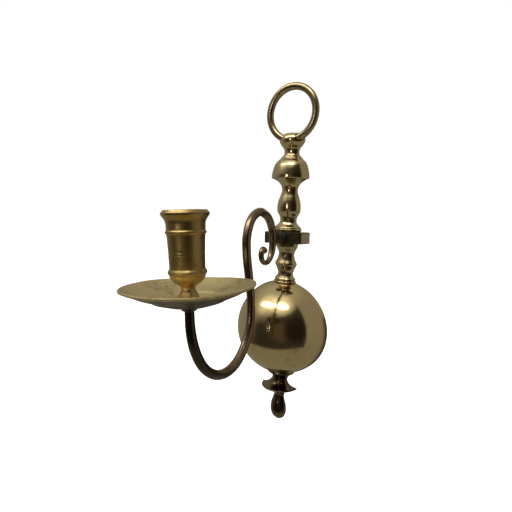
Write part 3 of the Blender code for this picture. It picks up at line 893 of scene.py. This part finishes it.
def make_room():
    """Surroundings that only the brass and the light see; the camera sees plain white.

    They are not a plain studio: a dim front, pale sides, a pale ceiling with a glow toward each
    lamp, a pale table below and a dark strip behind, fitted to the real ball's reflections.
    """
    world = bpy.data.worlds.new("studio")
    bpy.context.scene.world = world
    world.use_nodes = True
    tree = world.node_tree
    tree.nodes.clear()

    def add(kind, **settings):
        made = tree.nodes.new(kind)
        for key, value in settings.items():
            setattr(made, key, value)
        return made

    def smooth(value, low, high):
        made = add("ShaderNodeMapRange", interpolation_type="SMOOTHSTEP")
        tree.links.new(value, made.inputs["Value"])
        made.inputs["From Min"].default_value = low
        made.inputs["From Max"].default_value = high
        return made.outputs["Result"]

    def blend(amount, a, b):
        made = add("ShaderNodeMix", data_type="RGBA")
        tree.links.new(amount, made.inputs[0])
        for socket, value in ((made.inputs[6], a), (made.inputs[7], b)):
            if isinstance(value, tuple):
                socket.default_value = (*value, 1.0)
            else:
                tree.links.new(value, socket)
        return made.outputs[2]

    def combine(a, b, operation):
        made = add("ShaderNodeMath", operation=operation)
        for socket, value in zip(made.inputs, (a, b)):
            if isinstance(value, (int, float)):
                socket.default_value = value
            else:
                tree.links.new(value, socket)
        return made.outputs[0]

    def toward(aim, low, high):
        """How near a direction lies to aim, 0 below the first cosine and 1 above the second."""
        made = add("ShaderNodeVectorMath", operation="DOT_PRODUCT")
        tree.links.new(direction, made.inputs[0])
        made.inputs[1].default_value = Vector(aim).normalized()
        return smooth(made.outputs["Value"], low, high)

    direction = add("ShaderNodeTexCoord").outputs["Generated"]
    split = add("ShaderNodeSeparateXYZ")
    tree.links.new(direction, split.inputs[0])
    x, y, z = split.outputs
    level = add("ShaderNodeVectorMath", operation="NORMALIZE")
    flat = add("ShaderNodeVectorMath", operation="MULTIPLY")
    tree.links.new(direction, flat.inputs[0])
    flat.inputs[1].default_value = (1.0, 1.0, 0.0)
    tree.links.new(flat.outputs[0], level.inputs[0])
    bearing = add("ShaderNodeSeparateXYZ")
    tree.links.new(level.outputs[0], bearing.inputs[0])

    over = combine(z, combine(x, 0.35, "MULTIPLY"), "SUBTRACT")
    pale = blend(smooth(z, -0.9, 0.2), (0.24, 0.23, 0.19), (0.28, 0.265, 0.23))
    pale = blend(smooth(over, 0.5, 1.15), pale, (0.50, 0.49, 0.43))
    dim = blend(toward((0.3, -0.95, 0.0), 0.86, 0.99), (0.034, 0.032, 0.028), (0.085, 0.060, 0.045))
    dim = blend(toward((0.75, -0.55, 0.1), 0.80, 0.97), dim, (0.016, 0.012, 0.009))
    dim = blend(toward((-0.97, -0.2, 0.0), 0.75, 0.95), dim, (0.15, 0.125, 0.10))
    ceiling = combine(z, combine(x, 0.5, "MULTIPLY"), "SUBTRACT")
    table = combine(z, combine(combine(x, x, "MULTIPLY"), 0.18, "MULTIPLY"), "SUBTRACT")
    seen = blend(smooth(ceiling, 0.38, 0.80), dim, pale)
    seen = blend(smooth(bearing.outputs["Y"], -0.22, -0.15), seen, pale)
    seen = blend(smooth(table, -0.64, -0.70), seen, pale)
    behind = combine(smooth(y, 0.60, 0.80), smooth(z, 0.20, 0.02), "MULTIPLY")
    seen = blend(behind, seen, (0.055, 0.048, 0.036))
    for aim, low, warm in ((LAMP_LEFT, 0.87, (0.52, 0.51, 0.46)),
                           (LAMP_RIGHT, 0.85, (0.68, 0.67, 0.62))):
        lift = blend(toward(aim, low, 0.99), (0.0, 0.0, 0.0), warm)
        total = add("ShaderNodeVectorMath", operation="ADD")
        tree.links.new(seen, total.inputs[0])
        tree.links.new(lift, total.inputs[1])
        seen = total.outputs[0]

    lit = add("ShaderNodeBackground")
    tree.links.new(seen, lit.inputs["Color"])
    backdrop = add("ShaderNodeBackground")
    backdrop.inputs["Color"].default_value = (1.0, 1.0, 1.0, 1.0)
    path = add("ShaderNodeLightPath")
    both = add("ShaderNodeMixShader")
    tree.links.new(path.outputs["Is Camera Ray"], both.inputs[0])
    tree.links.new(lit.outputs[0], both.inputs[1])
    tree.links.new(backdrop.outputs[0], both.inputs[2])
    out = add("ShaderNodeOutputWorld")
    tree.links.new(both.outputs[0], out.inputs["Surface"])


def soft_light(name, direction, size, power, roll=0.0):
    """A softbox in that direction from the middle of the sconce, facing it."""
    middle = (cad_box[0] + cad_box[1]) / 2
    lamp = bpy.data.lights.new(name, "AREA")
    lamp.shape = "ELLIPSE"
    lamp.size, lamp.size_y = size
    lamp.energy = power
    obj = bpy.data.objects.new(name, lamp)
    bpy.context.scene.collection.objects.link(obj)
    away = Vector(direction).normalized()
    obj.location = middle + away * LAMP_DISTANCE
    facing = away.to_track_quat("Z", "Y").to_matrix()
    obj.rotation_euler = (facing @ Matrix.Rotation(roll, 3, "Z")).to_euler()


def make_lights():
    """Two ceiling softboxes, high in front to the left and the right, and a narrow front fill."""
    soft_light("ceiling_left", LAMP_LEFT, (0.84, 0.28), 2.4, math.radians(28))
    soft_light("ceiling_right", LAMP_RIGHT, (0.80, 0.40), 3.2)
    soft_light("front_fill", FRONT, (0.12, 0.50), 1.1)


def make_camera():
    """Close, a little above and to the right of the sconce's front, slightly rolled."""
    lens = bpy.data.cameras.new("camera")
    lens.lens = LENS
    lens.sensor_width = SENSOR
    camera = bpy.data.objects.new("camera", lens)
    bpy.context.scene.collection.objects.link(camera)
    camera.location = CAMERA_PLACE
    camera.rotation_euler = [math.radians(a) for a in CAMERA_TURN]
    bpy.context.scene.camera = camera
    bpy.context.scene.view_settings.view_transform = "Standard"


build(materials())
make_floor()
make_room()
make_lights()
make_camera()

bpy.context.view_layer.update()
